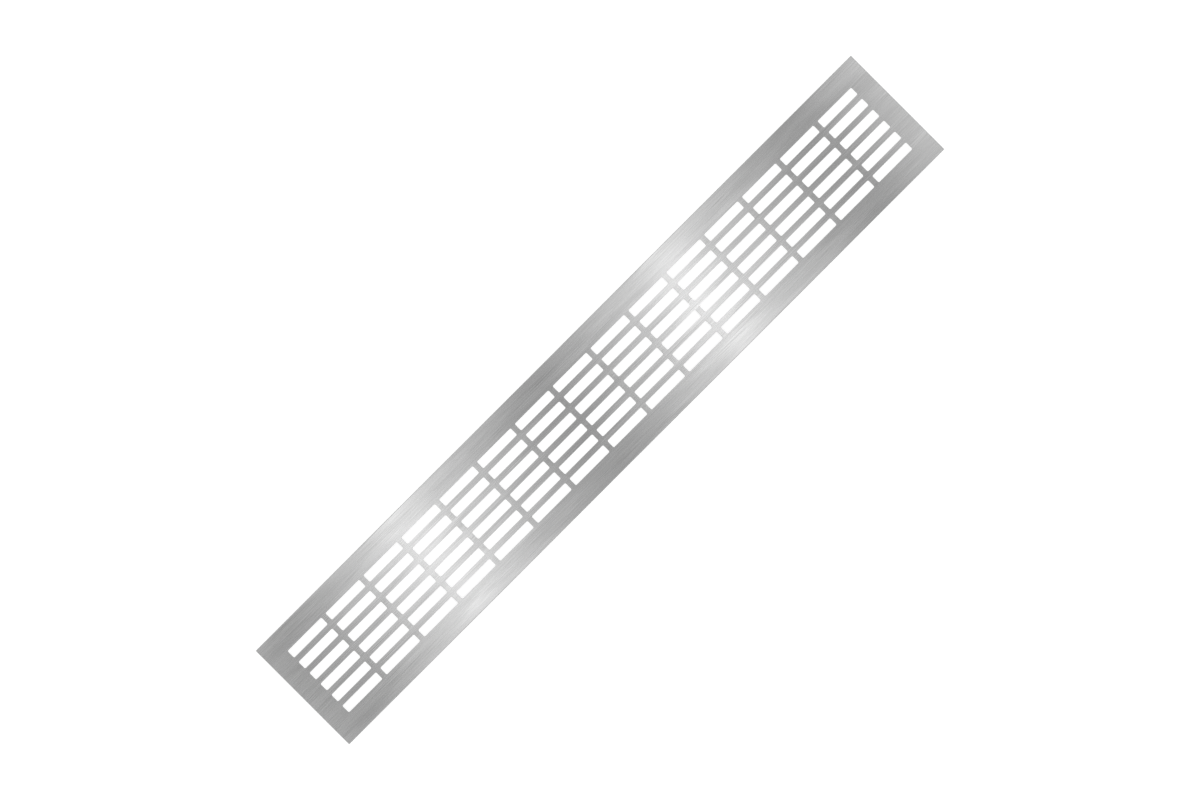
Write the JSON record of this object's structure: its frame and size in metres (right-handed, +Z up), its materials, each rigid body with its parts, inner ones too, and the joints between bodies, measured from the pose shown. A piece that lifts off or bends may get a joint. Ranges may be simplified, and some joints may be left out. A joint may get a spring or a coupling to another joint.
{
  "type": "ventilation grille",
  "caption": "Flat rectangular brushed aluminium face with rows of long round-cornered air slots and two legs underneath that locate it in a cut-out.",
  "frame": {"origin": "middle of the seating plane, which is the underside of the face where it lies on the panel", "axes": "+X along the length of the face and its slots, +Y across it, +Z up out of the show face; the legs point down"},
  "size_m": [0.5, 0.0786, 0.008],
  "materials": {
    "brushed_aluminium": "brushed along the length, clear anodised"
  },
  "bodies": {
    "root": {"grille": "brushed_aluminium"}
  },
  "joints": []
}
